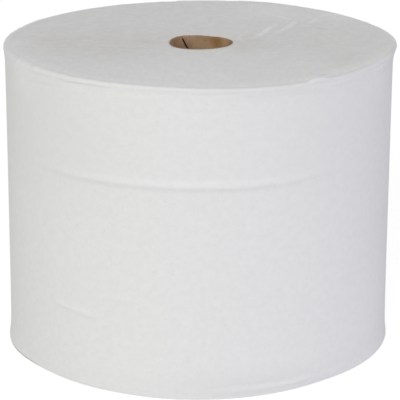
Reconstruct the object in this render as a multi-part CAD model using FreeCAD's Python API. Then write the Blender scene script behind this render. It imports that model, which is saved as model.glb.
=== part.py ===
import FreeCAD, Part
import math
import os

# Toilet paper roll standing on its end: two-ply tissue wound on a small spiral-wound cardboard core.
# Millimetres. The origin is on the core's axis, in the plane that the roll stands on, and +Z is up.
# The loose end of the tissue lies on the far side (+Y), and the creases are on the front (-Y).

# ---------------------------------------------------------------- driving sizes
# Tissue winding
roll_height = 98.0             # width of the slit web, rim to rim
roll_diameter = 124.4          # over the wraps, half way up
tail_thickness = 0.3           # the loose end of the web: two plies
tail_direction = 97.0          # degrees from +X about +Z at which the loose end lies
rim_bevel = 0.6                # the soft outer edge at both ends, as a narrow bevel

# The outer wraps spread at both ends, where nothing holds them
top_flare = 0.8                # how far the upper rim stands out past the wraps
top_flare_height = 4.5
bottom_flare = 0.65            # the same for the lower rim
bottom_flare_height = 9.0
lip_rise = 0.8                 # how far the upper rim stands above the rest of the end
lip_width = 9.0                # width of the ring over which it rises

# Lines of the turns, drawn on both ends as a spiral
turn_pitch = 8.2               # radial step from one drawn turn to the next
turn_line_width = 0.6
turn_line_depth = 0.2
turn_margin = 2.4              # plain ring left inside and outside the spiral

# Creases pressed into the outer wrap: height on the roll, direction in degrees from +X,
# half of the angle that the crease covers, and how far its ridge stands proud
long_crease = dict(height=68.2, direction=-97.0, half_angle=47.0, proud=0.32)
short_crease = dict(height=24.8, direction=-128.5, half_angle=13.0, proud=0.26)
crease_section_radius = 1.3    # radius of the ridge's round section
crease_run_out = 1.15          # the ring behind a ridge runs on this much further, under the surface

# Cardboard core
core_diameter = 20.6           # outside, where the first turn is glued
core_wall = 0.5                # two plies of thin board
seam_width = 0.55              # gap between the edges of the inner ply's strip
seam_depth = 0.25              # thickness of the inner ply
seam_angle = 27.0              # degrees between the seam and the core's axis
seam_top_direction = 124.5     # degrees from +X at which the seam reaches the core's upper end

overcut = 1.0                  # how far a cutting tool runs past the face that it cuts

# ---------------------------------------------------------------- derived sizes
roll_radius = roll_diameter / 2
core_radius = core_diameter / 2
bore_radius = core_radius - core_wall
end_height = roll_height - lip_rise          # the flat part of the upper end
core_length = end_height                     # web and core are sawn off together
lip_inner_radius = roll_radius - lip_width
up = FreeCAD.Vector(0, 0, 1)


def at(radius, height, centre=0.0):
    """A point of a half section, in the XZ plane, at a radius from an axis that stands at x = centre."""
    return FreeCAD.Vector(centre + radius, 0, height)


def line(start, end):
    return Part.LineSegment(start, end).toShape()


def arc(start, middle, end):
    return Part.Arc(start, middle, end).toShape()


def revolved(edges, centre, turn):
    """Solid that a closed half section makes when it turns about the upright axis at x = centre."""
    section = Part.Face(Part.Wire(edges))
    return section.revolve(FreeCAD.Vector(centre, 0, 0), up, turn)


def polygon(points):
    """Closed list of straight edges through the points."""
    return [line(a, b) for a, b in zip(points, points[1:] + points[:1])]


# ---------------------------------------------------------------- tissue
def flare_middle(radius, straight_end, out, height):
    """Middle point of the arc that leaves the upright wall at straight_end and reaches out over height.

    height is negative where the arc runs down to the lower rim.
    """
    turn = 2 * math.atan2(out, abs(height))
    bend = abs(height) / math.sin(turn)
    rise = math.copysign(bend * math.sin(turn / 2), height)
    return radius + bend * (1 - math.cos(turn / 2)), straight_end + rise


def wrap_section(radius, centre):
    """Half section of the winding: flat ends, bevelled rims, and walls that flare towards both ends."""
    low = radius + bottom_flare
    high = radius + top_flare
    low_start = bottom_flare_height
    high_start = roll_height - top_flare_height

    def p(spot):
        return at(spot[0], spot[1], centre)

    low_bend = flare_middle(radius, low_start, bottom_flare, rim_bevel - bottom_flare_height)
    high_bend = flare_middle(radius, high_start, top_flare, top_flare_height - rim_bevel)
    axis_low = p((0, 0))
    floor_end = p((low - rim_bevel, 0))
    low_rim = p((low, rim_bevel))
    wall_low = p((radius, low_start))
    wall_high = p((radius, high_start))
    high_rim = p((high, roll_height - rim_bevel))
    ceiling_end = p((high - rim_bevel, roll_height))
    axis_high = p((0, roll_height))
    return [
        line(axis_low, floor_end),
        line(floor_end, low_rim),
        arc(low_rim, p(low_bend), wall_low),
        line(wall_low, wall_high),
        arc(wall_high, p(high_bend), high_rim),
        line(high_rim, ceiling_end),
        line(ceiling_end, axis_high),
        line(axis_high, axis_low),
    ]


def winding():
    """The wound web. Two half turns about centres set half a web apart make one turn of a true spiral:
    the wall is smooth all round and steps in by the web's thickness at the loose end."""
    shift = tail_thickness / 2
    first_half = revolved(wrap_section(roll_radius, 0), 0, 180)
    second_half = revolved(wrap_section(roll_radius + shift, shift), shift, -180)
    body = first_half.fuse(second_half).removeSplitter()
    body.rotate(FreeCAD.Vector(), up, tail_direction)
    return body


def end_hollow():
    """Tool that lowers the upper end inside the raised lip."""
    slope = lip_rise / (lip_width - rim_bevel)
    past = lip_inner_radius + (lip_rise + overcut) / slope
    above = roll_height + overcut
    points = [at(0, end_height), at(lip_inner_radius, end_height), at(past, above), at(0, above)]
    return revolved(polygon(points), 0, 360)


def crease(height, direction, half_angle, proud):
    """Ridge that rises out of the outer wrap, highest in the middle, and fades into it at both ends.

    It is part of a ring whose centre is moved towards the crease, so only that stretch shows.
    """
    half = math.radians(half_angle)
    shift = proud / (1 - math.cos(half))
    ring_radius = roll_radius + proud - crease_section_radius - shift
    reach = math.degrees(math.atan2(roll_radius * math.sin(half), roll_radius * math.cos(half) - shift))
    sweep = 2 * reach * crease_run_out
    ring = Part.makeTorus(ring_radius, crease_section_radius, FreeCAD.Vector(), up, 0, 360, sweep)
    ring.rotate(FreeCAD.Vector(), up, direction - sweep / 2)
    away = math.radians(direction)
    ring.translate(FreeCAD.Vector(shift * math.cos(away), shift * math.sin(away), height))
    return ring


def turn_lines(face_height, inward, outer_limit):
    """Spiral V groove in one end: half turns about two centres, each wider than the last by half a pitch.

    inward is -1 on the upper end and +1 on the lower one.
    """
    step = turn_pitch / 2
    lift = turn_line_depth
    half_width = turn_line_width / 2 * (turn_line_depth + lift) / turn_line_depth
    radius = core_radius + turn_margin + step
    grooves = []
    while radius < outer_limit - turn_margin - step:
        even = len(grooves) % 2 == 0
        centre = -step / 2 if even else step / 2
        outside = face_height - inward * lift
        bottom = face_height + inward * turn_line_depth
        points = [at(radius - half_width, outside, centre), at(radius + half_width, outside, centre)]
        points.append(at(radius, bottom, centre))
        start = 0 if even else 180
        half_turn = revolved(polygon(points), centre, 180)
        half_turn.rotate(FreeCAD.Vector(centre, 0, 0), up, start)
        grooves.append(half_turn)
        radius += step
    spiral = grooves[0].fuse(grooves[1:])
    spiral.rotate(FreeCAD.Vector(), up, tail_direction)
    return spiral


def tissue():
    """The whole winding is one solid."""
    body = winding()
    for fold in (long_crease, short_crease):
        body = body.fuse(crease(**fold))
    body = body.cut(end_hollow())
    bore = Part.makeCylinder(core_radius, roll_height + 2 * overcut, FreeCAD.Vector(0, 0, -overcut), up)
    body = body.cut(bore)
    body = body.cut(turn_lines(end_height, -1, lip_inner_radius))
    body = body.cut(turn_lines(0, 1, roll_radius - rim_bevel))
    return body.removeSplitter()


# ---------------------------------------------------------------- core
def seam():
    """Helical tool for the gap that the edges of the inner ply's strip leave along the bore."""
    lead = 2 * math.pi * bore_radius / math.tan(math.radians(seam_angle))
    run = core_length + 2 * seam_width + 2 * overcut
    below = (core_length - run) / 2
    path = Part.makeHelix(lead, run, bore_radius)
    across = seam_width / math.cos(math.radians(seam_angle)) / 2
    inner = -core_wall
    corners = [(inner, -across), (seam_depth, -across), (seam_depth, across), (inner, across)]
    section = Part.Wire(polygon([at(bore_radius + x, y) for x, y in corners]))
    section.rotate(FreeCAD.Vector(bore_radius, 0, 0), FreeCAD.Vector(1, 0, 0), -90)
    groove = Part.Wire(path.Edges).makePipeShell([section], True, True)
    groove.translate(FreeCAD.Vector(0, 0, below))
    turned = 360 * (core_length - below) / lead
    groove.rotate(FreeCAD.Vector(), up, seam_top_direction - turned)
    return groove


def core():
    """Thin tube, sawn square at both ends, with the inner ply's seam open along a steep helix."""
    tube = Part.makeCylinder(core_radius, core_length)
    tube = tube.cut(Part.makeCylinder(bore_radius, core_length + 2 * overcut, FreeCAD.Vector(0, 0, -overcut), up))
    return tube.cut(seam())


# ---------------------------------------------------------------- output
pieces = {"paper_roll": tissue(), "cardboard_core": core()}
os.makedirs("parts", exist_ok=True)
for name, shape in pieces.items():
    solid = shape.Solids[0]
    solid.exportStep("parts/" + name + ".step")
    box = solid.optimalBoundingBox()
    print(name, "solids", len(shape.Solids), "valid", shape.isValid(), "faces", len(solid.Faces))
    print("  volume %.1f mm3" % solid.Volume)
    print("  x %.2f..%.2f  y %.2f..%.2f  z %.2f..%.2f" % (box.XMin, box.XMax, box.YMin, box.YMax, box.ZMin, box.ZMax))
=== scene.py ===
# %% [markdown]
# # A toilet paper roll, standing on its end
# The real thing is one long web of two-ply tissue, wound some 450 times round a small cardboard tube and
# sawn to length. A maker's drawing shows a cylinder with a hole. What makes it look real is everything that
# soft paper does to that cylinder: the rims spread a little, the outer wrap carries a crease or two, the
# sawn end is dished and faintly streaked by the turns, and the board inside has an open spiral seam.
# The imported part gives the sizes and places. This lesson models both pieces again as fine meshes, each from
# a few formulas, and gives them procedural finishes.

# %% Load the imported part
import math

import bpy
import numpy as np
from mathutils import Matrix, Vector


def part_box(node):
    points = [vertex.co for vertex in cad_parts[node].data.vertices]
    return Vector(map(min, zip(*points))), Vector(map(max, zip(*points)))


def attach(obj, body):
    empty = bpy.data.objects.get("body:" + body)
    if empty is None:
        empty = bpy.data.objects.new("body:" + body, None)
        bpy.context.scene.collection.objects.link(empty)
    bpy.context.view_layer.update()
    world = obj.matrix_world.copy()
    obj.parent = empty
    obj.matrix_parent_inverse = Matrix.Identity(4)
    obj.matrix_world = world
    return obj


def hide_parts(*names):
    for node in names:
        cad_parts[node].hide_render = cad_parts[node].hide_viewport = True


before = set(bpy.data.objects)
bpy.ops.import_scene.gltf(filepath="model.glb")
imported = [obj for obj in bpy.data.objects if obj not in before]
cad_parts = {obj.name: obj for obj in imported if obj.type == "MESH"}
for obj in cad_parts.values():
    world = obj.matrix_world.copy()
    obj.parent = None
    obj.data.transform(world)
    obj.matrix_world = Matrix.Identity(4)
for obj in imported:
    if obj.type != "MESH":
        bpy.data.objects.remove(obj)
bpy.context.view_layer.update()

# %% [markdown]
# ## Sizes
# Blender works in metres here, and paper is thin, so a name for a millimetre keeps the numbers readable.
# The roll's height, the core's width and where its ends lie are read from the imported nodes. Only what the
# box of a node can't tell, such as the width of a flare, is written down.

# %% Sizes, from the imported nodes
MM = 0.001
roll_low, roll_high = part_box("paper_roll")
core_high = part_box("cardboard_core")[1]
roll_height = roll_high.z
rim_spread = 0.8 * MM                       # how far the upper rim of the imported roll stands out
wrap_radius = -roll_low.x - rim_spread
web_step = 0.3 * MM                         # rise of the outer wrap over its last turn: two plies
core_radius = core_high.x
core_wall = 0.5 * MM
core_height = core_high.z
loose_end_direction = math.radians(97.0)    # on the far side
print("roll %.1f mm high, %.1f mm across the wraps" % (roll_height / MM, 2 * wrap_radius / MM))
print("core %.1f mm across, %.1f mm long" % (2 * core_radius / MM, core_height / MM))

# %% [markdown]
# ## The camera
# A long lens from a little above, as for a catalogue: the sides of the roll stay nearly parallel and the
# upper end is seen at a grazing angle. The camera is placed by its distance and its height above the roll's
# middle, and aimed slightly below it.

# %% Camera
camera_distance = 0.6437
camera_rise = math.radians(17.44)
aim_below = math.radians(0.42)
aim_right = math.radians(0.041)
camera_roll = math.radians(-0.122)
middle = roll_height / 2

camera_data = bpy.data.cameras.new("catalogue_camera")
camera_data.sensor_width = 36.0
camera_data.lens = 176.3
camera = bpy.data.objects.new("catalogue_camera", camera_data)
bpy.context.scene.collection.objects.link(camera)
bpy.context.scene.camera = camera
camera_y = -camera_distance * math.cos(camera_rise)
camera.location = (0, camera_y, middle + camera_distance * math.sin(camera_rise))
aim = Matrix.Rotation(-aim_right, 3, "Z") @ Matrix.Rotation(math.pi / 2 - camera_rise - aim_below, 3, "X")
camera.rotation_euler = (aim @ Matrix.Rotation(camera_roll, 3, "Z")).to_euler()
print("camera at", [round(v, 3) for v in camera.location])

# %% [markdown]
# ## Shapes made of waves
# Soft paper is never exactly round, yet it has no sharp corners either. A few cosines of the direction
# round the core describe such a line well: each term has a size, a number of lobes and the direction of its
# first crest. A crest that belongs to one place only is a bell curve of the distance from it.

# %% Helpers for soft shapes
def waves(angle, terms):
    """Sum of cosines: (size, lobes, direction of a crest in degrees)."""
    return sum(size * np.cos(lobes * (angle - math.radians(crest))) for size, lobes, crest in terms)


def bell(value, centre, width):
    return np.exp(-(((value - centre) / width) ** 2))


def ease(value):
    """0 below 0, 1 above 1, and smooth between."""
    t = np.clip(value, 0, 1)
    return t * t * (3 - 2 * t)


def aside(angle, direction):
    """Angle from a direction in degrees, in radians, between minus and plus half a turn."""
    return (angle - math.radians(direction) + math.pi) % (2 * math.pi) - math.pi


def between(value, low, high, soft):
    """1 between low and high, and fading to 0 over soft on both sides."""
    return ease((value - low) / soft + 1) * ease((high - value) / soft + 1)


print("a crest at 30 degrees, seen from there:", round(float(waves(math.radians(30), [(1, 3, 30)])), 3))

# %% [markdown]
# ## The wall of the roll
# The outer wrap is a cylinder that grows by one web over its last turn. Nothing holds its two edges, so it
# flares there: sharply at the upper rim, most of all at the two sides, and in a longer sweep at the lower
# one, where the roll's weight presses it out. Directions are in degrees from +X, so the front is at -90.

# %% The flares of the wall
upper_flare_height = 7 * MM
upper_flare_curve = 2.6                     # the higher, the more sharply the rim turns out
upper_flare_waves = [(0.20 * MM, 0, 0), (0.04 * MM, 3, -60), (0.03 * MM, 7, 15)]
upper_side_flares = [                       # (size, direction, width in radians)
    (1.05 * MM, 4, 0.5), (0.25 * MM, 178, 0.5), (0.65 * MM, -73, 0.30)]
lower_flare_height = 9.5 * MM
lower_flare_curve = 3
lower_flare_waves = [(0.20 * MM, 0, 0), (-0.06 * MM, 1, -90), (0.28 * MM, 4, 0), (0.03 * MM, 9, 40)]
lower_side_flares = [
    (0.60 * MM, -161, 0.20), (0.40 * MM, -21, 0.28), (-0.20 * MM, 4, 0.3),
    (-0.45 * MM, -136, 0.22), (-0.50 * MM, -114, 0.20), (-0.35 * MM, -52, 0.14)]
swell = 0.22 * MM                           # the lower third of the roll is a little stouter
swell_height = 32 * MM
swell_curve = 1.5


def places(angle, stops):
    """Sum of bells round the roll: (size, direction in degrees, width in radians)."""
    return sum(size * bell(aside(angle, direction), 0, width) for size, direction, width in stops)


def upper_flare(angle, height):
    rise = np.clip(1 - (roll_height - height) / upper_flare_height, 0, 1)
    return rise**upper_flare_curve * (waves(angle, upper_flare_waves) + places(angle, upper_side_flares))


def lower_flare(angle, height):
    fall = np.clip(1 - height / lower_flare_height, 0, 1)
    long_fall = np.clip(1 - height / swell_height, 0, 1)
    flare = waves(angle, lower_flare_waves) + places(angle, lower_side_flares)
    return fall**lower_flare_curve * flare + swell * long_fall**swell_curve


print("flare at the right: upper %.2f mm, lower %.2f mm" % (
    upper_flare(0.0, roll_height) / MM, lower_flare(0.0, 0.0) / MM))

# %% [markdown]
# ## Creases
# The long crease is a fold that ran round half of the outer wrap when the roll was squeezed end to end, so
# the web buckled outwards along a thin line. Shorter ones lie low on the wall, at the foot and below the
# upper rim. Each crease has a line, given by its height at a few directions, and an envelope that fades it
# out at both ends.

# %% Creases of the outer wrap
def crease(angle, height, stops, reach, fade, proud, width):
    """Relief of one crease. Its line runs smoothly through its stops (direction, height in mm). It is whole
    between the two directions of reach, and gone fade degrees past them."""
    directions, heights = np.array(stops).T
    half_way = (directions[0] + directions[-1]) / 2
    direction = aside(angle, half_way) + math.radians(half_way)
    directions = np.radians(directions)
    line = np.polyfit(directions, heights * MM, len(stops) - 1)
    centre = np.polyval(line, np.clip(direction, directions[0], directions[-1]))
    first, last = np.radians(reach)
    strength = between(direction, first, last, math.radians(fade))
    return strength * (proud * MM) * bell(height, centre, width * MM)


creases = [                                 # stops, reach, fade in degrees, proud and width in mm
    # The long crease round the front, and the short ones in the lower third
    ([(-142, 68.3), (-114, 68.2), (-92, 68.0), (-74, 67.9), (-52, 69.0)], (-118, -76), 34, 0.60, 1.25),
    ([(-136, 25.4), (-121, 23.6)], (-132, -124), 7, 0.36, 0.75),
    ([(-116, 31.0), (-106, 30.6)], (-113, -109), 5, 0.18, 0.7),
    ([(-82, 29.8), (-68, 30.2)], (-78, -72), 6, 0.09, 0.7),
    # The foot bulges, with a hollow above
    ([(-90, 2.1), (-54, 2.6)], (-80, -62), 8, 0.30, 0.65),
    ([(-90, 3.8), (-54, 4.1)], (-82, -62), 8, -0.20, 0.7),
    # A collar just below the upper rim, at the left
    ([(-134, 97.5), (-122, 97.7), (-110, 97.8)], (-128, -118), 5, 0.42, 0.38),
    # Below and beside the lifted rim the paper is drawn into strokes
    ([(-59, 96.6), (-50, 93.2)], (-57, -53), 3, 0.16, 0.7),
    ([(-62, 95.4), (-55, 92.0)], (-61, -57), 3, -0.12, 0.6),
    ([(-30, 95.8), (-18, 97.4)], (-28, -20), 4, 0.22, 0.45),
    ([(-29, 94.4), (-16, 96.0)], (-27, -18), 4, 0.18, 0.40),
    ([(-24, 93.4), (-14, 94.6)], (-23, -16), 3, -0.12, 0.45)]
print("creases with a place of their own:", len(creases))

# %% [markdown]
# Handling leaves many faint wrinkles besides, most of them just below the upper rim or just above the foot,
# and the cut edges of the web stand up along the rim as small tufts. They are strewn by a random generator
# with a fixed seed, so the roll comes out the same each time.

# %% Wrinkles and tufts
dice = np.random.default_rng(7)
wrinkle_fade = 4


def strew_wrinkles(count, directions, lengths, draw_height, slant, proud, widths):
    """Add short creases. Directions and lengths are in degrees, heights, proud and widths in mm."""
    for _ in range(count):
        direction, length = dice.uniform(*directions), dice.uniform(*lengths)
        height = draw_height()
        stops = [(direction, height), (direction + length, height + dice.normal(0, slant) * length)]
        reach = (direction, direction + length)
        creases.append((stops, reach, wrinkle_fade, dice.uniform(-proud, proud), dice.uniform(*widths)))


def below_rim():
    return roll_height / MM - 1.2 - abs(dice.normal(0, 3.0))


def above_foot():
    return 0.9 + abs(dice.normal(0, 1.6))


def anywhere():
    return dice.uniform(6, 90)


strew_wrinkles(34, (-150, -35), (4, 14), below_rim, 0.05, 0.09, (0.3, 0.6))
strew_wrinkles(24, (-165, -20), (4, 11), above_foot, 0.04, 0.06, (0.3, 0.5))
strew_wrinkles(22, (0, 360), (2, 9), anywhere, 0.1, 0.04, (0.7, 1.3))

tuft_width = 0.022                          # in radians
rim_tufts = [(-155, 0.16 * MM), (-143, 0.20 * MM), (-131, 0.22 * MM), (-125, 0.14 * MM), (-120, 0.12 * MM)]
rim_tufts += [(dice.uniform(0, 360), dice.uniform(-0.09, 0.09) * MM) for _ in range(60)]
print("creases and wrinkles: %d, tufts: %d" % (len(creases), len(rim_tufts)))

# %% The wall's radius
wall_waves = [
    (-0.12 * MM, 0, 0), (0.10 * MM, 1, 180), (0.05 * MM, 2, 70), (0.03 * MM, 5, 100), (0.01 * MM, 11, 30)]
winding_wave = 0.04 * MM                    # a slight bulge that winds its way up the roll
winding_pitch = 17 * MM
tuft_out = 0.7                              # how far a tuft leans out, as a share of its height


def wall_radius(angle, height, wound):
    """Radius of the outer wrap. wound is the share of its last turn that has been laid at this angle."""
    radius = wrap_radius + web_step * wound + waves(angle, wall_waves)
    radius = radius + winding_wave * np.sin(height / winding_pitch + 2 * angle)
    radius = radius + upper_flare(angle, height) + lower_flare(angle, height)
    for direction, proud in rim_tufts:
        across = bell(aside(angle, direction), 0, tuft_width)
        radius = radius + tuft_out * proud * across * bell(height, roll_height, MM)
    for one in creases:
        radius = radius + crease(angle, height, *one)
    return radius


front = math.radians(-90)
print("radius at the front: foot %.2f, middle %.2f, rim %.2f mm" % tuple(
    float(wall_radius(front, h, 0.5)) / MM for h in (0, middle, roll_height)))

# %% [markdown]
# ## The sawn ends
# The end is a disc of edges, one for each turn. It is lowest at the core and rises to the rim, because the
# outer wraps were pushed up a little, and the saw did not cut quite square. The core's mouth is out of round,
# and so is the paper that hugs it. Where the roll was handled, a few bundles of turns have folded over: each
# fold has a steep side and a long one.

# %% The core's outline
mouth_waves = [
    (-0.28 * MM, 0, 0), (0.16 * MM, 1, 16), (0.31 * MM, 2, -17), (0.45 * MM, 3, 0), (0.15 * MM, 4, 36)]
mouth_depth = 30 * MM                       # the core is round again this far down
mouth_curve = 1.5


def mouth_shape(angle, height):
    """How far the core's outline stands out of the true circle."""
    near_top = np.clip(1 - (core_height - height) / mouth_depth, 0, 1)
    return near_top**mouth_curve * waves(angle, mouth_waves)


mouth_now = mouth_shape(np.radians(np.arange(360)), core_height)
print("the mouth lies %.2f to %.2f mm off its circle" % (mouth_now.min() / MM, mouth_now.max() / MM))

# %% The upper end's height at the rim
rim_waves = [(0.30 * MM, 1, -105), (0.08 * MM, 2, 68), (0.05 * MM, 5, -35), (0.03 * MM, 9, 10)]
rim_places = [
    (0.12 * MM, -115, 0.55), (0.48 * MM, -144, 0.38), (-0.36 * MM, -62, 0.55), (0.42 * MM, 69, 0.17),
    (0.20 * MM, 151, 0.25), (-0.15 * MM, 97, 0.16), (-0.31 * MM, 25, 0.32)]
rim_sunk = 0.10 * MM                        # the soft rim stands a little lower than it was cut
pucker_direction = -56.5                    # a small lift of the rim at the front right
pucker_lift = 0.95 * MM
pucker_rise = 0.050                         # it rises over this angle, in radians
pucker_fall = 0.090                         # and falls over this one
pucker_crest = 0.33                         # after a crest, given as a share of the fall


def rim_height(angle):
    """Height of the upper end at the rim, without the pucker."""
    tufts = sum(proud * bell(aside(angle, direction), 0, tuft_width) for direction, proud in rim_tufts)
    return roll_height + waves(angle, rim_waves) + places(angle, rim_places) + tufts - rim_sunk


def pucker(angle):
    off = aside(angle, pucker_direction)
    return pucker_lift * ease(off / pucker_rise + 1) * ease(1 + pucker_crest - off / pucker_fall)


print("rim height at the front, right, back, left:", [
    round(float(rim_height(math.radians(a))) / MM, 2) for a in (-90, 0, 90, 180)])

# %% Folds and unevenness of the upper end
end_folds = [                               # (x, y) of both ends in mm, height in mm
    ((12.5, 3.5), (16.5, 14.5), 0.35),
    ((16.0, 2.5), (27.0, 25.5), 0.75),
    ((26.0, 12.0), (33.5, 31.0), 0.70),
    ((35.5, 21.0), (40.0, 34.0), 0.40),
    ((-12.0, 39.0), (4.0, 20.5), 0.16),
    ((-4.0, 40.0), (9.0, 22.0), 0.12),
    ((-30.0, 14.0), (-20.0, 4.0), 0.12)]
steep_side = 0.9 * MM
long_side = 3.0 * MM
fold_bow = 0.12                             # a fold is bowed by this share of its length
fold_whole = (0.15, 0.85)                   # it is whole between these shares of its length
fold_fade = 0.25                            # and fades over this share
turn_lift = 0.006 * MM                      # turns stand a hair higher or lower than their neighbours
turn_pitch = 1.9 * MM
turn_drift = [(2.5, 1, 80), (1.6, 3, 30), (0.9, 7, 5)]
cloud_lift = 0.06 * MM
cloud_pitch = 7 * MM
cloud_drift = [(1.7, 2, 150), (1.1, 4, 60)]
even_margin = 3 * MM                        # next to the core and at the rim the end is even


def fold(x, y, start, end, proud):
    """Low fold along a stroke from start to end, fading at both ends. Its steep side is on the right."""
    start, end = np.array(start) * MM, np.array(end) * MM
    run = end - start
    length = np.hypot(*run)
    along = ((x - start[0]) * run[0] + (y - start[1]) * run[1]) / length**2
    off = ((x - start[0]) * run[1] - (y - start[1]) * run[0]) / length
    off = off + fold_bow * length * (along - 0.5) ** 2
    side = np.where(off > 0, steep_side, long_side)
    return proud * MM * between(along, *fold_whole, fold_fade) * bell(off, 0, side)


def end_relief(angle, radius):
    """Uneven turns and folded bundles, on the upper end."""
    inner = ease((radius - core_radius) / even_margin)
    outer = ease((wrap_radius - radius) / even_margin)
    relief = turn_lift * np.sin(radius / turn_pitch + waves(angle, turn_drift))
    relief = relief + cloud_lift * np.sin(radius / cloud_pitch + waves(angle, cloud_drift))
    x, y = radius * np.cos(angle), radius * np.sin(angle)
    for start, end, proud in end_folds:
        relief = relief + fold(x, y, start, end, proud)
    return relief * inner * outer


print("folds:", len(end_folds))

# %% [markdown]
# ## One closed skin for the whole winding
# The solid is modelled as a skin of rings. Each ring runs once round the core and has the same number of
# points, and rings are laid from the lower end of the bore out to the rim, up the wall, and back in to the
# core. Rings lie close where the shape is fine, on the upper end, at the rims and at the creases, and apart
# elsewhere. The first and the last point of a ring stand a web apart, which makes the step of the spiral.

# %% Helpers that join rings into a mesh
def skin(rings, closed=True):
    """Points and quads of a skin over rings of points. Closed joins the last ring to the first."""
    points = np.concatenate(rings)
    count = len(rings[0])
    this = np.arange(count)
    after = np.roll(this, -1)
    quads = []
    pairs = len(rings) if closed else len(rings) - 1
    for row in range(pairs):
        low = row * count
        high = ((row + 1) % len(rings)) * count
        quads.append(np.stack([low + this, low + after, high + after, high + this], axis=1))
    return points, np.concatenate(quads)


def lids(rings):
    """Quads that close the first and the last ring of a flat tube, from its one side to its other."""
    count = len(rings[0])
    this = np.arange(count // 2 - 1)
    lid = np.stack([this, this + 1, count - 2 - this, count - 1 - this], axis=1)
    return np.concatenate([lid[:, ::-1], lid + (len(rings) - 1) * count])


def mesh_of(name, skins):
    """One mesh from several skins."""
    points, quads, start = [], [], 0
    for own_points, own_quads in skins:
        points.append(own_points)
        quads.append(own_quads + start)
        start += len(own_points)
    mesh = bpy.data.meshes.new(name)
    mesh.from_pydata(np.concatenate(points).tolist(), [], np.concatenate(quads).tolist())
    mesh.update()
    return mesh


def ring(angle, radius, height):
    """Points of one ring. Radius and height may change with the angle."""
    full = np.ones_like(angle)
    return np.stack([radius * np.cos(angle), radius * np.sin(angle), height * full], axis=1)


def spaced(stops):
    """Values from the first stop to the last: each stop is (value, step used from there on)."""
    values = []
    for (start, step), (stop, _) in zip(stops, stops[1:]):
        values += list(np.linspace(start, stop, max(1, round((stop - start) / step)), endpoint=False))
    return np.array(values + [stops[-1][0]])


print("heights across a fine band:", np.round(spaced([(66, 0.5), (70, 2), (76, 2)]), 2))

# %% [markdown]
# The web's last two centimetres have let go of the roll. They get a skin of their own, so the roll under them
# ends in a plain step where they begin, and its columns start there. Columns lie close on the front and on
# the right of the end, where the creases and folds are, and apart at the back.

# %% Columns of the roll
loose_length = 22 * MM
loose_turn = loose_length / wrap_radius
root_direction = loose_end_direction - loose_turn
step_gap = 0.1 * MM / wrap_radius           # the step takes this much of the turn
root_degrees = math.degrees(root_direction)
column_stops = [(root_degrees, 1.6), (195, 0.85), (405, 1.6), (root_degrees + 360, 1.6)]
columns = np.radians(spaced(column_stops))
columns[0] += step_gap / 2
columns[-1] -= step_gap / 2
wound = (columns - root_direction) / (2 * math.pi) - loose_turn / (2 * math.pi)
print("columns:", len(columns))

# %% Foot, rim and ends of the roll
bore_play = 0.02 * MM                       # keeps the paper just clear of the core
foot_hollow = 0.3 * MM                      # the lower end is a little hollow round the core
foot_lifts = [(0.03 * MM, -118, 0.40), (0.05 * MM, -75, 0.50), (0.08 * MM, -49, 0.18)]
foot_line = places(columns, foot_lifts)     # the foot stands a hair clear of the ground in places
foot_soft = 0.45 * MM                       # radius of the lower rim
foot_places = [(-0.15 * MM, -14, 0.4), (0.19 * MM, -156, 0.3), (-0.20 * MM, -118, 0.3)]
foot_round = foot_soft + places(columns, foot_places)
soft_waves = [(0.78 * MM, 0, 0), (0.18 * MM, 1, -90)]       # radius of the upper rim
soft_places = [(1.3 * MM, -154, 0.24), (-0.35 * MM, -6, 0.25)]
rim_soft = waves(columns, soft_waves) + places(columns, soft_places)
pucker_depth = 6.5 * MM                     # how far the lift of the rim reaches in
dish_curve = 1.15                           # above 1, the end levels out towards the rim


def wall_ring(height, line, out=0.0):
    """Ring on the outside: the wall as it is at a height, moved out by out, and drawn along a line."""
    return ring(columns, wall_radius(columns, height, wound) + out, line)


def end_ring(share_out, upper):
    """Ring on a sawn end. share_out is 0 at the core and 1 where the rim's round begins."""
    soft, level = (rim_soft, roll_height) if upper else (foot_round, 0.0)
    rim_radius = wall_radius(columns, level, wound) - soft
    inner = core_radius + (mouth_shape(columns, core_height) if upper else 0.0) + bore_play
    radius = inner + (rim_radius - inner) * share_out
    if not upper:
        return ring(columns, radius, foot_hollow * (1 - share_out) ** 2 + foot_line * share_out**4)
    high = rim_height(columns)
    height = high - (high - core_height) * (1 - share_out) ** dish_curve
    lifted = pucker(columns) * ease(1 - (rim_radius - radius) / pucker_depth)
    return ring(columns, radius, height + lifted + end_relief(columns, radius))


print("upper rim's radius: %.2f to %.2f mm" % (rim_soft.min() / MM, rim_soft.max() / MM))

# %% Lay the rings of the roll
lower_end_rings = 18
upper_end_rings = 62
round_steps = np.radians([12, 28, 45, 62, 78])
drawn_height = 98                           # the height that the stops on the wall are given for, in mm
wall_stops = [                              # (height, step from there on)
    (0.45, 0.4), (4.5, 0.9), (8, 1.6), (21, 0.45), (32.5, 1.6),
    (64, 0.28), (72, 1.6), (90, 0.5), (96.5, 0.25), (98, 0.25)]
line_run = 9 * MM                           # the uneven lines of foot and rim die out over this height
bore_rows = core_height * np.array([0.985, 0.95, 0.88, 0.8, 0.7, 0.45, 0.2])

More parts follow.
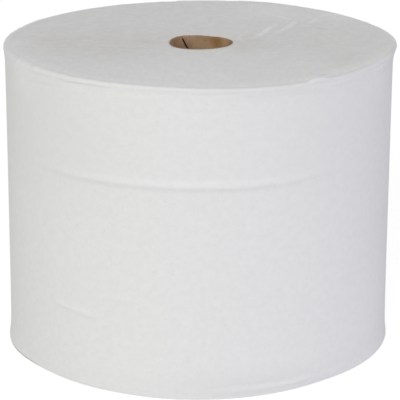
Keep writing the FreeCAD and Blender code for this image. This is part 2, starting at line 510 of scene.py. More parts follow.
rings = [end_ring(share, upper=False) for share in np.linspace(0, 1, lower_end_rings)]
for turn in round_steps:
    out, rise = foot_round * (math.sin(turn) - 1), foot_round * (1 - math.cos(turn))
    rings.append(wall_ring(rise, rise + foot_line, out))
wall_from = len(rings)
wall_rows = spaced(wall_stops) / drawn_height
top_line = rim_height(columns) + pucker(columns)
for share in wall_rows:
    height = foot_soft + (share - wall_rows[0]) / (1 - wall_rows[0]) * (roll_height - foot_soft)
    near_top = ease(1 - (roll_height - height) / line_run)
    near_foot = ease(1 - height / line_run)
    line = height + (top_line - rim_soft - roll_height) * near_top + foot_line * near_foot
    rings.append(wall_ring(height, line))
for turn in round_steps[::-1]:
    out, drop = rim_soft * (math.sin(turn) - 1), rim_soft * (1 - math.cos(turn))
    rings.append(wall_ring(roll_height, top_line - drop, out))
wall_rings = range(wall_from, len(rings) + 1)
rings += [end_ring(share, upper=True) for share in np.linspace(1, 0, upper_end_rings)]
for height in bore_rows:
    rings.append(ring(columns, core_radius + mouth_shape(columns, height) + bore_play, height))
roll_skin = skin(rings)
print("rings %d, faces %d" % (len(rings), len(roll_skin[1])))

# %% [markdown]
# The loose end was torn along a perforation, so its edge runs in shallow scallops with a small tuft at each
# bond that broke. The two plies tore on slightly different lines. Each ply is a flat tube: its rings run out
# along its face and back along its underside, and two lids close it. It leaves the roll tangentially and its
# lower corner curls off, as a sheet does when it bends along a slanting line.

# %% How the loose end lies
tear_pitch = 4.6 * MM                       # from one bond of the perforation to the next
tear_tuft = 0.50 * MM
tuft_share = 0.12                           # width of a tuft, as a share of the pitch
tear_drifts = [(0.30 * MM, 11 * MM), (0.16 * MM, 3.7 * MM)]     # (size, height over which it changes)
loose_gap = 0.22 * MM                       # how far the web has sprung off the roll
loose_uneven = 0.3                          # the gap varies by this share up the roll
loose_beat = 14 * MM
loose_beat_from = 0.6                       # in radians, at the foot
curl_radius = 62 * MM
curl_height = 64 * MM                       # the curl of the lower corner dies out at this height
curl_start = 0.10                           # at the foot it starts this far along the loose length
ply_split = 0.28 * MM                       # how far the plies part at the torn edge
under_share = 0.86                          # the under ply lifts a little less


def tear_line(height, drift_at):
    """Sideways run of the torn edge, in metres along the web."""
    tuft = tear_tuft * bell((height / tear_pitch) % 1.0, 0.5, tuft_share)
    return tuft + sum(size * np.sin(height / run + drift_at) for size, run in tear_drifts)


def loose_lift(along, height, under):
    """How far the web stands off the roll, at a distance along it from where it lets go."""
    share = ease(along / loose_length)
    uneven = 1 - loose_uneven + loose_uneven * np.sin(height / loose_beat + loose_beat_from)
    starts = loose_length * (curl_start + (1 - curl_start) * ease(height / curl_height))
    free = np.clip(along - starts, 0, None)
    lift = loose_gap * share**1.5 * uneven + free**2 / (2 * curl_radius)
    return lift * under_share - ply_split * share**4 if under else lift


print("lift of the lower corner: %.1f mm" % (float(loose_lift(loose_length, 0.0, False)) / MM))

# %% Build the loose end, and the mesh of the roll
ply = web_step / 2
ply_thickness = 0.9 * ply                   # a hair of air stays between the plies
overlap = 3 * MM                            # the loose plies start this far back, flush on the roll
flush = 0.02 * MM
under_drift = 2.0                           # the under ply is torn on another line
under_longer = 0.35 * MM
torn_steps = np.array([1.6, 1.0, 0.5, 0.05, 0.0]) * MM      # columns near the torn edge, from it
flat_steps = np.linspace(-overlap + 0.05 * MM, loose_length - 3 * MM, 15)
free_from = 6 * MM                          # past here the ply keeps to the rim's own height
foot_clear = 0.12 * MM
rim_clear = 0.08 * MM
loose_rows = 221


def loose_ring(height_share, under):
    """Ring of one ply: out along its face, back along its underside."""
    edge = loose_length + tear_line(height_share * roll_height, under_drift if under else 0.0)
    edge += under_longer if under else 0
    along = np.concatenate([[-overlap], flat_steps, edge - torn_steps])
    angle = root_direction + along / wrap_radius
    begun = ease(along / free_from)
    low = foot_soft * (1 - begun) + foot_clear
    high = rim_height(angle) - waves(angle, soft_waves) * (1 - begun) - rim_clear
    height = low + (high - low) * height_share
    laid = 1 + (along - loose_length) / (2 * math.pi * wrap_radius)
    outside = wall_radius(angle, height, laid) + flush + loose_lift(along, height, under)
    outside -= ply if under else 0
    return np.concatenate([ring(angle, outside, height), ring(angle, outside - ply_thickness, height)[::-1]])


loose_skins = []
for under in (False, True):
    loose_rings = [loose_ring(share, under) for share in np.linspace(0, 1, loose_rows)]
    points, quads = skin(loose_rings, closed=False)
    loose_skins.append((points, np.concatenate([quads, lids(loose_rings)])))
roll_mesh = mesh_of("tissue_roll", [roll_skin, *loose_skins])
loose_faces = sum(len(quads) for _, quads in loose_skins)
print("faces on the loose end: %d, all faces: %d" % (loose_faces, len(roll_mesh.polygons)))

# %% [markdown]
# Paper has no hard edges at this size, so the faces are shaded smooth. The wall and the sawn ends show
# different things: the wall is the flat of the web, and an end is some hundreds of its edges. They get two
# material slots on one mesh. The roll as a whole leans a little, which is a shear of all its points.

# %% Slots, smooth shading and the lean
lean = 0.006                                # the roll leans a little to the right as it stands
WALL, SAWN = 0, 1


def set_slots(mesh, slots):
    """Give each face its material slot, and shade it smooth."""
    mesh.polygons.foreach_set("material_index", slots.astype(np.int32))
    mesh.polygons.foreach_set("use_smooth", np.ones(len(slots), dtype=bool))


def lean_over(mesh):
    points = np.empty(len(mesh.vertices) * 3)
    mesh.vertices.foreach_get("co", points)
    points = points.reshape(-1, 3)
    points[:, 0] += lean * (points[:, 2] - middle)
    mesh.vertices.foreach_set("co", points.ravel())
    mesh.update()


def add_piece(mesh):
    piece = bpy.data.objects.new(mesh.name, mesh)
    bpy.context.scene.collection.objects.link(piece)
    return piece


slot_of_ring = np.where(np.isin(np.arange(len(rings)), wall_rings), WALL, SAWN)
set_slots(roll_mesh, np.concatenate([np.repeat(slot_of_ring, len(columns)), np.full(loose_faces, WALL)]))
lean_over(roll_mesh)
tissue_roll = add_piece(roll_mesh)
print("faces on the wall:", sum(p.material_index == WALL for p in roll_mesh.polygons))

# %% [markdown]
# ## The cardboard core
# Two strips of thin board are wound at a slant on a mandrel and glued. The edges of the outer strip meet, and
# those of the inner one leave a gap that runs up the bore as a helix. The columns of this mesh follow that
# helix, so the gap is a clean groove of a few columns and needs no cutting. The sawn rim of the board is
# fuzzy, and stands a hair above the paper.

# %% Columns of the tube, along the seam
bore_radius = core_radius - core_wall
seam_slant = math.radians(27)
seam_top = math.radians(124.5)
seam_half = 0.55 * MM / math.cos(seam_slant) / bore_radius / 2      # half of its width, as an angle
seam_lead = 2 * math.pi * bore_radius / math.tan(seam_slant)
side_step = 0.03 * MM / bore_radius         # angle that the groove's steep side takes

groove_columns = 5
ply_columns = 187
groove_turn = np.linspace(-seam_half, seam_half, groove_columns)
ply_turn = np.linspace(seam_half + side_step, 2 * math.pi - seam_half - side_step, ply_columns)
core_turn = np.concatenate([groove_turn, ply_turn])
print("columns:", len(core_turn), "of which in the groove:", groove_columns)

# %% Rings of the tube
seam_depth = 0.25 * MM
edge_curl = 0.03 * MM                       # the cut edges of the inner ply swell a little
edge_curl_width = 0.35 * MM
ragged_waves = [(0.024 * MM, 9, 5), (0.020 * MM, 17, 9), (0.016 * MM, 31, 3), (0.016 * MM, 47, 1)]
in_groove = np.arange(len(core_turn)) < groove_columns
beside = np.minimum(core_turn, 2 * math.pi - core_turn) - seam_half


def core_angle(height):
    return core_turn + seam_top + (height - core_height) / seam_lead * 2 * math.pi


def board_ring(radius, height, grooved):
    """Ring of the tube. On the bore's side it takes in the groove of the seam."""
    angle = core_angle(height)
    radius = radius + mouth_shape(angle, height)
    if grooved:
        swell = edge_curl * bell(beside * bore_radius, 0, edge_curl_width)
        radius = radius + np.where(in_groove, seam_depth, -swell)
    return ring(angle, radius, height)


def sawn_ring(radius, rise):
    """Ring on the sawn rim, a little ragged."""
    points = board_ring(radius, core_height, False)
    points[:, 2] += rise + waves(core_angle(core_height), ragged_waves)
    return points


print("seam %.2f mm wide" % (2 * seam_half * bore_radius / MM))

# %% Build the board tube
rim_round = 0.08 * MM
rim_proud = 0.10 * MM
rim_crown = 0.02 * MM                       # the middle of the rim stands this much higher
seam_start = 0.8 * MM                       # the gap is pressed shut down to here from the sawn rim
outer_rows = core_height * np.linspace(0, 0.985, 24)
groove_top = core_height - seam_start - 0.1 * MM
crowding = 1.35                             # above 1, the rings lie closer together near the mouth
board_rows = groove_top * (1 - np.linspace(0, 1, 44) ** crowding)

board_rings = [board_ring(core_radius, height, False) for height in outer_rows]
for radius, rise in (
        (core_radius, rim_proud - rim_round),
        (core_radius - rim_round, rim_proud),
        ((core_radius + bore_radius) / 2, rim_proud + rim_crown),
        (bore_radius + rim_round, rim_proud),
        (bore_radius, rim_proud - rim_round)):
    board_rings.append(sawn_ring(radius, rise))
board_rings += [board_ring(bore_radius, core_height - drop, False) for drop in (0.3 * MM, seam_start)]
gap_from = len(board_rings)
board_rings += [board_ring(bore_radius, height, True) for height in board_rows]
core_mesh = mesh_of("core_tube", [skin(board_rings)])

BOARD, CUT_EDGE, GAP = 0, 1, 2
board_slots = np.full((len(board_rings), len(core_turn)), BOARD)
board_slots[len(outer_rows):len(outer_rows) + 4] = CUT_EDGE
board_slots[-1] = CUT_EDGE
board_slots[gap_from:-1, :groove_columns - 1] = GAP
set_slots(core_mesh, board_slots.ravel())
lean_over(core_mesh)
core_tube = add_piece(core_mesh)
print("board tube: %d faces, of which in the gap: %d" % (len(core_mesh.polygons), (board_slots == GAP).sum()))

# %% [markdown]
# ## Finishes
# Everything here is matt. Tissue is creped: it is scraped off a hot drum while still damp, which leaves fine
# wrinkles that run across the web, so they stand upright on the roll. Under soft light they only show as a
# faint grain. Each effect is a node group that is built once and placed with values of its own: a grain, a
# mottle and a soft spot, which the paper and the board share, and streaks and strokes for the sawn ends.

# %% Helpers for node trees
def feed(tree, inputs, values):
    """Give each named or numbered input its value: a number, a tuple, or the output of another node."""
    for name, value in values.items():
        if isinstance(value, (int, float, tuple)):
            inputs[name].default_value = value
        else:
            tree.links.new(value, inputs[name])


def node(tree, kind, values=None, **settings):
    """Add a node: values go on its inputs, and settings are its properties."""
    made = tree.nodes.new(kind)
    for name, value in settings.items():
        setattr(made, name, value)
    feed(tree, made.inputs, values or {})
    return made


def new_group(name, vectors, numbers, outputs):
    """A node group with named inputs and outputs. Returns it, and its inputs and outputs seen from inside."""
    tree = bpy.data.node_groups.new(name, "ShaderNodeTree")
    for title in vectors:
        tree.interface.new_socket(name=title, in_out="INPUT", socket_type="NodeSocketVector")
    for title, value in numbers.items():
        made = tree.interface.new_socket(name=title, in_out="INPUT", socket_type="NodeSocketFloat")
        made.default_value = value
    for title in outputs:
        tree.interface.new_socket(name=title, in_out="OUTPUT", socket_type="NodeSocketFloat")
    return tree, node(tree, "NodeGroupInput").outputs, node(tree, "NodeGroupOutput").inputs


def math_node(tree, operation, first, second):
    return node(tree, "ShaderNodeMath", {0: first, 1: second}, operation=operation).outputs[0]


def vector_node(tree, operation, first, second=(0, 0, 0)):
    """A Vector Math node. It gives a number for a product, a distance or a length, and else a vector."""
    made = node(tree, "ShaderNodeVectorMath", {0: first, 1: second}, operation=operation)
    return made.outputs["Value" if operation in ("DOT_PRODUCT", "DISTANCE", "LENGTH") else "Vector"]


def parts_of(tree, place):
    return node(tree, "ShaderNodeSeparateXYZ", {0: place}).outputs


def squeezed(tree, place, factors):
    """A texture read here is squeezed along an axis by a factor above 1, and drawn out by one below 1."""
    return vector_node(tree, "MULTIPLY", place, factors)


def from_axis(tree, place):
    """Distance from the core's axis."""
    return vector_node(tree, "LENGTH", squeezed(tree, place, (1, 1, 0)))


def ramp(tree, value, low, high):
    """0 below low, 1 above high, and smooth between."""
    values = {"Value": value, "From Min": low, "From Max": high}
    return node(tree, "ShaderNodeMapRange", values, interpolation_type="SMOOTHSTEP").outputs["Result"]


def fading(tree, value, low, high):
    """1 below low, 0 above high, and smooth between."""
    return ramp(tree, math_node(tree, "MULTIPLY", value, -1.0), -high, -low)


def noise(tree, vector, scale, detail=3.0, roughness=0.6):
    values = {"Vector": vector, "Scale": scale, "Detail": detail, "Roughness": roughness}
    return node(tree, "ShaderNodeTexNoise", values).outputs["Fac"]


def blend(tree, share, first, second):
    """Mix of two colours. Each is a tuple or a socket."""
    made = node(tree, "ShaderNodeMix", {"Factor": share}, data_type="RGBA")
    inputs = {s.name: s for s in made.inputs if s.type == "RGBA"}
    for name, colour in (("A", first), ("B", second)):
        feed(tree, inputs, {name: (*colour, 1) if isinstance(colour, tuple) else colour})
    return [s for s in made.outputs if s.type == "RGBA"][0]


def tint(tree, colour, tone, mask, depth):
    """Bring a colour a share of the way to a tone, where the mask is 1."""
    return blend(tree, math_node(tree, "MULTIPLY", mask, depth), colour, tone)


print("ready to wire nodes")

# %% [markdown]
# The grain is plain noise, drawn out where Stretch is below 1. The mottle is that of fibre stock: soft clouds
# where the sheet is thicker or thinner, and small specks where a fibre is darker than the rest. The spot is 1
# in its centre and fades to 0 at its reach.

# %% Groups that the paper and the board share
def grain_group():
    tree, inside, outside = new_group(
        "grain", ["Place", "Stretch"], {"Scale": 1000.0, "Roughness": 0.6}, ["Height"])
    drawn_out = squeezed(tree, inside["Place"], inside["Stretch"])
    height = noise(tree, drawn_out, inside["Scale"], roughness=inside["Roughness"])
    feed(tree, outside, {"Height": height})
    return tree


def mottle_group():
    sizes = {"Cloud Size": 0.006, "Speck Size": 0.0008}
    tree, inside, outside = new_group("fibre_mottle", ["Place", "Stretch"], sizes, ["Clouds", "Specks"])
    drawn_out = squeezed(tree, inside["Place"], inside["Stretch"])
    clouds, specks = (
        noise(tree, drawn_out, math_node(tree, "DIVIDE", 1.0, inside[size]), detail, roughness)
        for size, detail, roughness in (("Cloud Size", 4.0, 0.6), ("Speck Size", 1.0, 0.5)))
    feed(tree, outside, {"Clouds": ramp(tree, clouds, 0.3, 0.7), "Specks": ramp(tree, specks, 0.62, 0.74)})
    return tree


def spot_group():
    tree, inside, outside = new_group(
        "soft_spot", ["Place", "Centre"], {"Reach": 0.01, "Depth": 0.5}, ["Mask"])
    away = vector_node(tree, "DISTANCE", inside["Place"], inside["Centre"])
    mask = fading(tree, math_node(tree, "DIVIDE", away, inside["Reach"]), 0.0, 1.0)
    feed(tree, outside, {"Mask": math_node(tree, "MULTIPLY", mask, inside["Depth"])})
    return tree


grain, fibre_mottle, soft_spot = grain_group(), mottle_group(), spot_group()
for group in (grain, fibre_mottle, soft_spot):
    print(group.name, [s.name for s in group.interface.items_tree])

# %% [markdown]
# On the sawn ends a noise is read with a short step in the distance from the axis and a long one along the
# turn, which draws streaks that follow the turns, as the edges of the web do. Where a bundle of turns has
# folded over, the flat of the paper shows beside the cut edges: a pale stroke, partly painted highlight,
# often with a dull one next to it, which is painted shade where the bundle gapes. A stroke runs from one
# point of the end to another and is widest in its middle.

# %% Groups for the sawn ends
stroke_tip = 0.02                           # the part at each end that the nearest place is kept out of


def turns_group():
    sizes = {"Streak Length": 0.02, "Streak Width": 0.0005}
    tree, inside, outside = new_group("along_the_turns", ["Place"], sizes, ["Streaks"])
    parts = parts_of(tree, inside["Place"])
    length, width = inside["Streak Length"], inside["Streak Width"]
    spot = node(tree, "ShaderNodeCombineXYZ", {
        "X": math_node(tree, "DIVIDE", parts["X"], length),
        "Y": math_node(tree, "DIVIDE", parts["Y"], length),
        "Z": math_node(tree, "DIVIDE", from_axis(tree, inside["Place"]), width)})
    feed(tree, outside, {"Streaks": noise(tree, spot.outputs[0], 1.0)})
    return tree


def stroke_group():
    tree, inside, outside = new_group(
        "stroke", ["Place", "Start", "Run"], {"Width": 0.001, "Depth": 0.5}, ["Mask"])
    run = inside["Run"]
    off = vector_node(tree, "SUBTRACT", inside["Place"], inside["Start"])
    run_squared = vector_node(tree, "DOT_PRODUCT", run, run)
    share_along = math_node(tree, "DIVIDE", vector_node(tree, "DOT_PRODUCT", off, run), run_squared)
    limits = {"Value": share_along, "Min": stroke_tip, "Max": 1 - stroke_tip}
    along = node(tree, "ShaderNodeClamp", limits).outputs["Result"]
    nearest = node(tree, "ShaderNodeVectorMath", {0: run, "Scale": along}, operation="SCALE")
    away = vector_node(tree, "DISTANCE", off, nearest.outputs["Vector"])
    parabola = math_node(tree, "MULTIPLY", along, math_node(tree, "SUBTRACT", 1.0, along))
    width_here = math_node(tree, "MULTIPLY", inside["Width"], math_node(tree, "MULTIPLY", parabola, 4.0))
    mask = fading(tree, math_node(tree, "DIVIDE", away, width_here), 0.0, 1.0)
    feed(tree, outside, {"Mask": math_node(tree, "MULTIPLY", mask, inside["Depth"])})
    return tree


along_the_turns, stroke = turns_group(), stroke_group()
for group in (along_the_turns, stroke):
    print(group.name, [s.name for s in group.interface.items_tree])

# %% Helpers for the finishes
low_gloss = 0.1                             # fibres scatter the light, so next to nothing is mirrored
as_is = (1, 1, 1)                           # neither stretched nor squeezed


def use_group(tree, group, **values):
    """Place a group, and return its outputs. An underscore stands for the space in the name of an input."""
    titled = {name.replace("_", " "): value for name, value in values.items()}
    made = node(tree, "ShaderNodeGroup", node_tree=group)
    feed(tree, made.inputs, titled)
    return made.outputs


def new_finish(name, roughness, sheen=0.0):
    """Material with its shader. Returns the material, its tree, the shader and the place on the object."""
    material = bpy.data.materials.new(name)
    material.use_nodes = True
    tree = material.node_tree
    shader = tree.nodes["Principled BSDF"]
    feed(tree, shader.inputs, {
        "Roughness": roughness, "Sheen Weight": sheen, "Specular IOR Level": low_gloss})
    place = node(tree, "ShaderNodeTexCoord").outputs["Object"]
    return material, tree, shader, place


def bump(tree, height, distance, **under):
    """Bump of a height, over another bump where Normal is given."""
    values = {"Height": height, "Distance": distance, "Strength": 1.0, **under}
    return node(tree, "ShaderNodeBump", values).outputs["Normal"]


def add_spot(tree, colour, place, centre, reach, depth, tone):
    """Bring a colour towards a tone in a soft round spot."""
    spot = use_group(tree, soft_spot, Place=place, Centre=centre, Reach=reach, Depth=depth)
    return blend(tree, spot["Mask"], colour, tone)


print("level of gloss:", low_gloss)

# %% [markdown]
# The wall shows the flat of the web. Its colour moves by a few parts in a hundred between clouds, with grey
# fibre specks. The crepe is a bump that is fine round the roll and long up it, over a softer unevenness.
# The wall is painted darker at the foot, in the necks below the rim and along the rim itself: painted shade.
# It is paler on the backs of the creases, as painted highlight, and in a few other spots, as painted light.

# %% Tissue, the flat of the web
wall_tones = ((0.836, 0.836, 0.833), (0.862, 0.862, 0.859))
wall_painted_shade = (0.78, 0.78, 0.777)
wall_painted_light = (0.94, 0.94, 0.94)
wall_speck = (0.62, 0.61, 0.60)
wall_painted_light_and_shade = [                              # centre, reach, depth, tone, and how flat the spot is
    # Painted shade: the darker foot, and the necks below the rim
    ((0.012, -0.061, 0.0), 0.050, 0.85, wall_painted_shade, 4),
    ((0.040, -0.048, 0.086), 0.048, 0.40, wall_painted_shade, 1),
    ((-0.055, -0.030, 0.084), 0.042, 0.40, wall_painted_shade, 1),
    ((0.061, -0.012, 0.098), 0.012, 0.90, wall_painted_shade, 1),
    ((-0.0375, -0.0505, 0.078), 0.030, 0.26, wall_painted_shade, 1),
    # Painted light: paler spots
    ((0.057, -0.027, 0.018), 0.030, 0.30, wall_painted_light, 1),
    ((-0.019, -0.060, 0.030), 0.040, 0.10, wall_painted_light, 1),
    ((0.0555, -0.030, 0.094), 0.011, 0.26, wall_painted_light, 1),
    ((-0.055, -0.031, 0.0945), 0.012, 0.26, wall_painted_light, 1),
    # Painted highlights on the backs of the creases
    ((0.028, -0.057, 0.0030), 0.030, 0.24, wall_painted_light, 30),
    ((-0.008, -0.0615, 0.0691), 0.045, 0.18, wall_painted_light, 30),
    ((-0.039, -0.0485, 0.0250), 0.016, 0.24, wall_painted_light, 30)]
# Painted shade: a darker line along the upper rim. The two pairs are the heights over which it begins and
# ends.
rim_shade_from = (0.0962, 0.0972)            # heights over which the dull line along the rim begins
rim_shade_to = (0.0973, 0.0978)              # and over which it ends
rim_shade_depth = 0.42
speck_depth = 0.12


def crepe_tissue():
    material, tree, shader, place = new_finish("crepe_tissue", 0.92)
    mottle = use_group(tree, fibre_mottle, Place=place, Stretch=as_is, Cloud_Size=0.0022, Speck_Size=0.0009)
    colour = blend(tree, mottle["Clouds"], *wall_tones)
    # Spots of painted shade and painted light on the wall
    for (x, y, z), reach, depth, tone, flatness in wall_painted_light_and_shade:
        flat = squeezed(tree, place, (1, 1, flatness))
        colour = add_spot(tree, colour, flat, (x, y, z * flatness), reach, depth, tone)
    height = parts_of(tree, place)["Z"]
    # Painted shade along the upper rim
    begun, not_over = ramp(tree, height, *rim_shade_from), fading(tree, height, *rim_shade_to)
    colour = tint(tree, colour, wall_painted_shade, math_node(tree, "MULTIPLY", begun, not_over), rim_shade_depth)
    colour = tint(tree, colour, wall_speck, mottle["Specks"], speck_depth)
    uneven = use_group(tree, grain, Place=place, Stretch=(1, 1, 1.1), Scale=520.0)
    crepe = use_group(tree, grain, Place=place, Stretch=(1, 1, 0.2), Scale=2200.0, Roughness=0.65)
    soft = bump(tree, uneven["Height"], 0.00011)
    normal = bump(tree, crepe["Height"], 0.00005, Normal=soft)
    feed(tree, shader.inputs, {"Base Color": colour, "Normal": normal})
    return material


crepe = crepe_tissue()
print("finish:", crepe.name)

# %% [markdown]
# An end of the roll is the cut edges of all the turns. Each edge is a streak, a hair lighter or darker than
# its neighbours, and the saw has left it a little ragged. Light is painted on the end: it is paler towards
# the front, and paler still on its outermost turns there. The strokes lie along the folds that the mesh has.

# %% Tissue, the sawn ends
sawn_tones = ((0.788, 0.785, 0.777), (0.851, 0.850, 0.845))
# Painted light: the end turns paler towards the front
front_painted_light = (-0.012, 0.055)                # the end turns paler over this distance forward of the axis
# Painted light on the outermost turns at the front: distances from the axis, and forward of it
painted_light_turns = (0.054, 0.0625)             # distance from the axis over which the turns get fluffed
painted_light_side = (0.0, 0.03)
painted_light_depth = 0.55
dull_and_painted_shade = (0.70, 0.69, 0.67)
pale_and_painted_light = (0.90, 0.90, 0.895)
fold_and_painted_light = (0.96, 0.96, 0.955)
warm_tone = (0.80, 0.785, 0.74)
# Darker and paler patches on the end. The paler ones, at the rims and at the right rear, are painted light.
end_patches_and_painted_light = [                             # (x, y) in mm, reach in mm, depth, tone
    ((-31, -4), 36, 0.64, dull_and_painted_shade),
    ((14, -3), 15, 0.85, dull_and_painted_shade),
    ((-15, 0), 9, 0.60, dull_and_painted_shade),
    ((-47, 0), 15, 0.38, dull_and_painted_shade),
    ((48, -27), 15, 0.40, dull_and_painted_shade),
    ((42, -6), 32, 0.26, dull_and_painted_shade),
    ((-8, 10), 14, 0.30, dull_and_painted_shade),
    ((0, 0), 24, 0.50, warm_tone),
    ((-6, -52), 28, 0.72, pale_and_painted_light),
    ((25, 43), 20, 0.60, pale_and_painted_light),
    ((-61, -4), 12, 0.50, pale_and_painted_light),
    ((14, -58), 14, 0.45, pale_and_painted_light),
    ((47, 35.5), 13, 0.60, pale_and_painted_light)]
# Pale strokes are partly painted highlight on the folds, dull strokes are painted shade beside them
end_strokes = [                             # (x, y) of both ends in mm, width in mm, depth, tone
    ((12.5, 3.5), (16.5, 14.5), 1.2, 0.22, fold_and_painted_light),
    ((17.8, 3.8), (24.6, 19.4), 1.5, 0.36, fold_and_painted_light),
    ((21.0, 11.4), (26.8, 24.4), 1.8, 0.42, fold_and_painted_light),
    ((26.8, 13.0), (33.3, 27.9), 1.5, 0.52, fold_and_painted_light),
    ((31.5, 24.5), (33.3, 33.0), 1.3, 0.35, fold_and_painted_light),
    ((36.6, 23.9), (40.1, 32.7), 1.6, 0.36, fold_and_painted_light),
    ((39.2, 33.6), (41.4, 25.5), 1.2, 0.20, fold_and_painted_light),
    ((25.5, 39.0), (32.8, 29.6), 1.8, 0.34, fold_and_painted_light),
    ((31.8, 29.4), (36.8, 33.2), 1.4, 0.34, fold_and_painted_light),
    ((40.5, 35.0), (46.0, 41.5), 2.0, 0.30, fold_and_painted_light),
    ((45.2, 41.2), (50.0, 36.0), 2.0, 0.30, fold_and_painted_light),
    ((14.5, 4.0), (20.5, 17.5), 1.0, 0.40, dull_and_painted_shade),
    ((23.6, 12.0), (27.4, 20.5), 1.0, 0.28, dull_and_painted_shade),
    ((10.6, 7.0), (13.6, 10.2), 0.9, 0.60, dull_and_painted_shade),
    ((36.6, 22.6), (44.0, 15.6), 1.2, 0.55, dull_and_painted_shade),
    ((34.0, -46.4), (39.5, -43.2), 0.9, 0.60, dull_and_painted_shade),
    ((-21.5, -6.0), (-12.0, 5.2), 1.8, 0.34, dull_and_painted_shade),
    ((-49.0, -10.0), (-37.5, -7.5), 1.8, 0.28, dull_and_painted_shade),
    ((2.2, -38.8), (9.4, -50.8), 2.2, 0.26, fold_and_painted_light),
    ((-11.2, -34.6), (-3.6, -47.2), 3.6, 0.16, fold_and_painted_light),
    ((1.0, -21.4), (3.6, -29.6), 1.6, 0.22, fold_and_painted_light),
    ((4.9, -17.8), (9.2, -10.2), 1.0, 0.30, fold_and_painted_light)]
flattened = 0.1                             # the strokes take little notice of how high the end is


def sawn_tissue():
    material, tree, shader, place = new_finish("sawn_tissue", 0.95, 0.05)
    mottle = use_group(tree, fibre_mottle, Place=place, Stretch=as_is, Cloud_Size=0.0030, Speck_Size=0.0007)
    fine = use_group(tree, along_the_turns, Place=place, Streak_Length=0.012, Streak_Width=0.0005)["Streaks"]
    broad = use_group(tree, along_the_turns, Place=place, Streak_Length=0.03, Streak_Width=0.0022)["Streaks"]
    forward = math_node(tree, "MULTIPLY", parts_of(tree, place)["Y"], -1.0)
    # Painted light: the end is paler towards the front
    colour = blend(tree, ramp(tree, forward, *front_painted_light), *sawn_tones)
    # Patches on the end; the paler ones are painted light
    for (x, y), reach, depth, tone in end_patches_and_painted_light:
        centre = (x * MM, y * MM, core_height)
        colour = add_spot(tree, colour, place, centre, reach * MM, depth, tone)
    # Painted light on the outermost turns at the front
    outer_turns = ramp(tree, from_axis(tree, place), *painted_light_turns)
    rim_painted_light = math_node(tree, "MULTIPLY", outer_turns, ramp(tree, forward, *painted_light_side))
    colour = tint(tree, colour, fold_and_painted_light, rim_painted_light, painted_light_depth)
    sawing = use_group(tree, grain, Place=place, Stretch=(1, 0.25, 1), Scale=700.0)
    for effect, depth, tone in (
            (mottle["Clouds"], 0.35, pale_and_painted_light),
            (ramp(tree, sawing["Height"], 0.35, 0.65), 0.16, dull_and_painted_shade),
            (ramp(tree, fine, 0.5, 0.8), 0.16, dull_and_painted_shade),
            (ramp(tree, broad, 0.5, 0.75), 0.10, dull_and_painted_shade)):
        colour = tint(tree, colour, tone, effect, depth)
    flat = squeezed(tree, place, (1, 1, flattened))
    level = core_height * flattened
    # Strokes of painted highlight and painted shade along the folds
    for (x, y), (end_x, end_y), width, depth, tone in end_strokes:
        start, run = (x * MM, y * MM, level), ((end_x - x) * MM, (end_y - y) * MM, 0)
        drawn = use_group(tree, stroke, Place=flat, Start=start, Run=run, Width=width * MM, Depth=depth)
        colour = blend(tree, drawn["Mask"], colour, tone)
    soft = bump(tree, broad, 0.00007)
    ragged = bump(tree, fine, 0.00008, Normal=soft)
    fuzz = use_group(tree, grain, Place=place, Stretch=as_is, Scale=900.0, Roughness=0.65)
    normal = bump(tree, fuzz["Height"], 0.00014, Normal=ragged)
    feed(tree, shader.inputs, {"Base Color": colour, "Normal": normal})
    return material


sawn = sawn_tissue()
print("finish:", sawn.name)

# %% [markdown]
# The core is thin grey-brown board made from waste paper. Its flat has clouds and specks of many fibres, and
# stains where glue and damp have soaked in; inside the mouth some of these spots are painted light and shade.
# Its sawn edge is darker and rougher, since the light sinks in between the torn fibres. The gap of the seam
# is
# painted nearly black: painted shade.

# %% Board, its cut edge and the gap of the seam
board_spot_depth = 0.85
# Stains, and painted light and shade inside the mouth
board_stains_and_painted_light = [                            # direction, depth below the rim in mm, reach in mm, tone
    (138, 3.0, 7.0, (0.370, 0.235, 0.152)),
    (112, 3.4, 3.8, (0.380, 0.241, 0.158)),
    (84, 3.5, 4.8, (0.530, 0.352, 0.211)),
    (52, 1.8, 5.2, (0.400, 0.237, 0.110)),
    (28, 1.8, 3.6, (0.530, 0.348, 0.197)),
    (108, 0.0, 3.0, (0.530, 0.360, 0.233)),
    (66, 4.6, 4.0, (0.590, 0.405, 0.255)),
    (26, 4.0, 3.0, (0.580, 0.400, 0.240)),
    (161, 2.2, 3.2, (0.620, 0.440, 0.310)),
    (50, 1.0, 3.2, (0.345, 0.182, 0.064))]


def board(name, dark, light, speck, roughness, stains_and_painted_light=()):
    material, tree, shader, place = new_finish(name, roughness)
    mottle = use_group(
        tree, fibre_mottle, Place=place, Stretch=(1, 1, 0.7), Cloud_Size=0.004, Speck_Size=0.0005)
    colour = blend(tree, mottle["Clouds"], dark, light)
    # Real stains, with painted light and shade among them
    for direction, below, reach, tone in stains_and_painted_light:
        away = math.radians(direction)
        centre = (bore_radius * math.cos(away), bore_radius * math.sin(away), core_height - below * MM)
        colour = add_spot(tree, colour, place, centre, reach * MM, board_spot_depth, tone)
    colour = blend(tree, mottle["Specks"], colour, speck)
    fibres = use_group(tree, grain, Place=place, Stretch=(1, 1, 0.4), Scale=1800.0)
    feed(tree, shader.inputs, {"Base Color": colour, "Normal": bump(tree, fibres["Height"], 0.00008)})
    return material


core_board = board(
    "core_board", (0.38, 0.248, 0.153), (0.465, 0.317, 0.20), (0.24, 0.15, 0.09), 0.8, board_stains_and_painted_light)
board_edge = board("board_edge", (0.26, 0.16, 0.095), (0.38, 0.24, 0.14), (0.20, 0.12, 0.07), 0.95)
# The gap of the seam: painted shade
seam_painted_shade = board("seam_painted_shade", (0.035, 0.02, 0.012), (0.06, 0.035, 0.02), (0.03, 0.02, 0.012), 0.9)
print("finishes:", core_board.name, board_edge.name, seam_painted_shade.name)

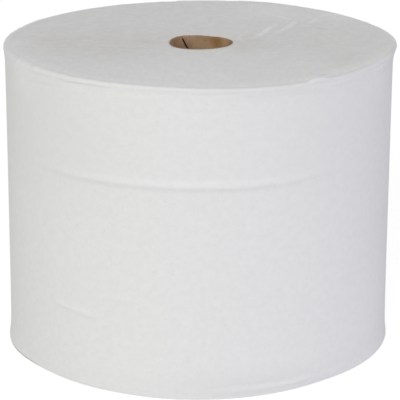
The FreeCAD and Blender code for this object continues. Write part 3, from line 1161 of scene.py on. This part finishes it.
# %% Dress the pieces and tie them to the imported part
for material in (crepe, sawn):
    roll_mesh.materials.append(material)
for material in (core_board, board_edge, seam_painted_shade):
    core_mesh.materials.append(material)
for piece, packed, slot in ((tissue_roll, "paper_roll", "tissue"), (core_tube, "cardboard_core", "board")):
    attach(piece, "root")
    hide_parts(packed)
print("pieces:", tissue_roll.name, core_tube.name)

# %% [markdown]
# ## Floor and light
# White paper on white: the shape is told by shading alone, so the light has to be soft and plain. Most of it
# comes from the whole surroundings. A large panel in front and above models the wall, a smaller one behind
# lights the back, and two weak ones brighten the sides, one a little warmer and one a little cooler. The
# camera sees the surroundings and the floor as white, while the light that they give the roll stays at its
# own, lower level.

# %% Surroundings
white_seen = 1.0
surround_light = 0.495


def seen_directly(tree):
    """1 for rays from the camera and for rays that a mirror or glass sends on."""
    path = node(tree, "ShaderNodeLightPath").outputs
    glossy = math_node(tree, "MAXIMUM", path["Is Camera Ray"], path["Is Glossy Ray"])
    return math_node(tree, "MAXIMUM", glossy, path["Is Transmission Ray"])


world = bpy.data.worlds.new("white_surroundings")
world.use_nodes = True
bpy.context.scene.world = world
sky_tree = world.node_tree
levels = {"Value": seen_directly(sky_tree), "To Min": surround_light, "To Max": white_seen}
strength = node(sky_tree, "ShaderNodeMapRange", levels).outputs["Result"]
feed(sky_tree, sky_tree.nodes["Background"].inputs, {"Color": (1, 1, 1, 1), "Strength": strength})
bpy.context.scene.view_settings.view_transform = "Standard"
print("surroundings give", surround_light, "and are seen at", white_seen)

# %% [markdown]
# The floor is a plain sheet that lets itself be seen through from below. It takes the roll's shadow, and a
# glow for the camera alone lifts the rest of it to white.

# %% Floor
floor_size = 3.0
floor_drop = 0.05 * MM                      # the sheet lies just under the roll
floor_glow = 0.46


def pale_floor():
    material = bpy.data.materials.new("pale_floor")
    material.use_nodes = True
    tree = material.node_tree
    tree.nodes.clear()
    matt = node(tree, "ShaderNodeBsdfDiffuse", {"Color": (0.85, 0.85, 0.85, 1)}).outputs[0]
    glow_level = math_node(tree, "MULTIPLY", seen_directly(tree), floor_glow)
    glow = node(tree, "ShaderNodeEmission", {"Strength": glow_level}).outputs[0]
    both = node(tree, "ShaderNodeAddShader", {0: matt, 1: glow}).outputs[0]
    clear = node(tree, "ShaderNodeBsdfTransparent").outputs[0]
    from_below = node(tree, "ShaderNodeNewGeometry").outputs["Backfacing"]
    sheet = node(tree, "ShaderNodeMixShader", {0: from_below, 1: both, 2: clear}).outputs[0]
    node(tree, "ShaderNodeOutputMaterial", {"Surface": sheet})
    return material


half = floor_size / 2
corners = [(-half, -half), (half, -half), (half, half), (-half, half)]
floor_mesh = bpy.data.meshes.new("floor")
floor_mesh.from_pydata([(x, y, -floor_drop) for x, y in corners], [], [(0, 1, 2, 3)])
floor_mesh.materials.append(pale_floor())
floor = add_piece(floor_mesh)
print("floor", floor_size, "m square")

# %% Lamps
def panel_lamp(name, direction, rise, distance, size, level, colour=(1, 1, 1)):
    """Square soft lamp aimed at the roll's middle. level is the light on a white sheet that faces it."""
    light = bpy.data.lights.new(name, "AREA")
    light.shape = "SQUARE"
    light.size = size
    light.energy = level * math.pi**2 * distance**2
    light.color = colour
    lamp = bpy.data.objects.new(name, light)
    bpy.context.scene.collection.objects.link(lamp)
    direction, rise = math.radians(direction), math.radians(rise)
    flat, up = distance * math.cos(rise), distance * math.sin(rise)
    lamp.location = (flat * math.cos(direction), flat * math.sin(direction), middle + up)
    lamp.rotation_euler = (math.pi / 2 - rise, 0, direction + math.pi / 2)
    print("%s at" % name, [round(v, 2) for v in lamp.location], "%.1f W" % light.energy)


panel_lamp("front_panel", -93, 25, 3.0, 1.7, 0.35)
panel_lamp("left_panel", -163, 12, 2.0, 1.0, 0.083, (1, 1, 0.80))
panel_lamp("right_panel", -17, 12, 2.0, 1.0, 0.098, (0.67, 0.60, 1))
panel_lamp("back_panel", 90, 3, 3.0, 1.0, 0.24)
